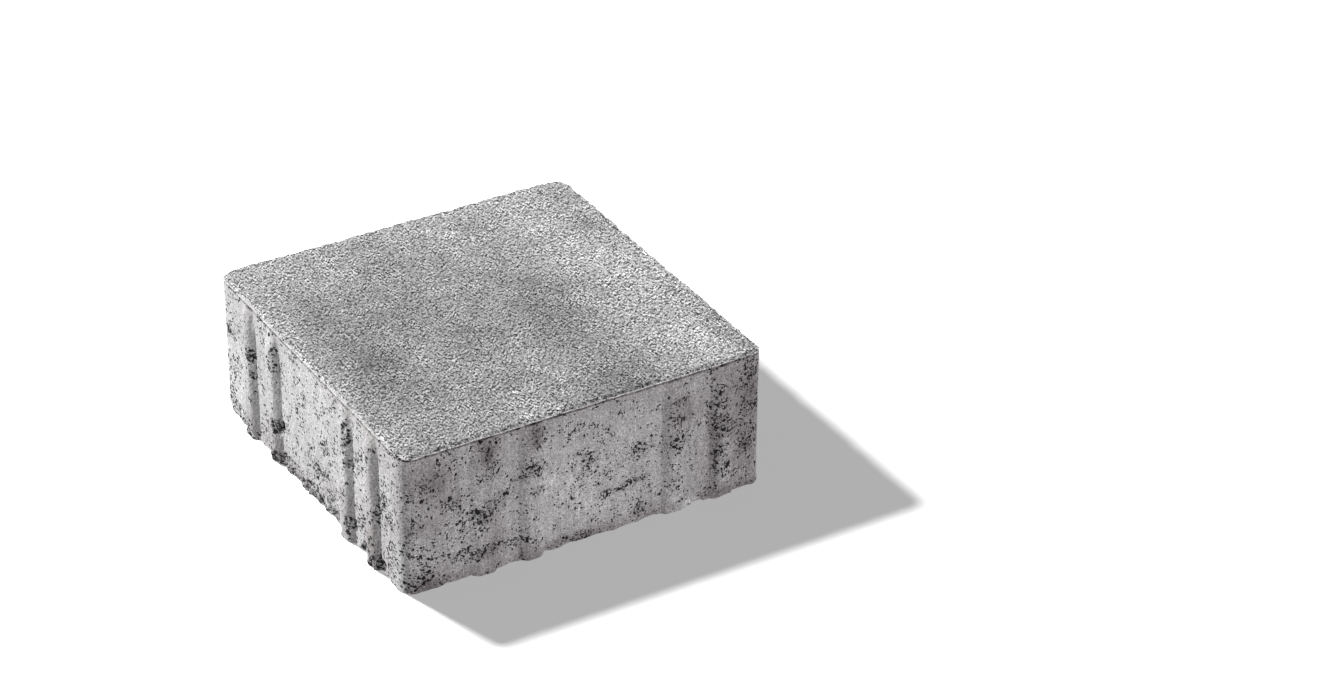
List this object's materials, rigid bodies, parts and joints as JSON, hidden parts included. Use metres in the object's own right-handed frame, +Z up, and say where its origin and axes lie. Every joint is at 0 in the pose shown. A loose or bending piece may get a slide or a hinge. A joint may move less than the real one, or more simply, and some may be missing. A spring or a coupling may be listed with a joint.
{
  "type": "concrete paving stone",
  "caption": "Square concrete paving stone with a rough wearing face, a fine bevelled edge and upright spacer ribs on its sides that keep the joint to its neighbours.",
  "frame": {"origin": "centre of the base, on the bedding", "axes": "+Z up to the wearing face, +X and +Y along two sides of the square, -Y the front face and -X the left face of the picture's view"},
  "size_m": [0.2132, 0.2132, 0.08],
  "materials": {
    "concrete": "matte, grey concrete with a rough pressed face and pale cement skin on the sides"
  },
  "bodies": {
    "root": {"paving_stone": "concrete"}
  },
  "joints": []
}
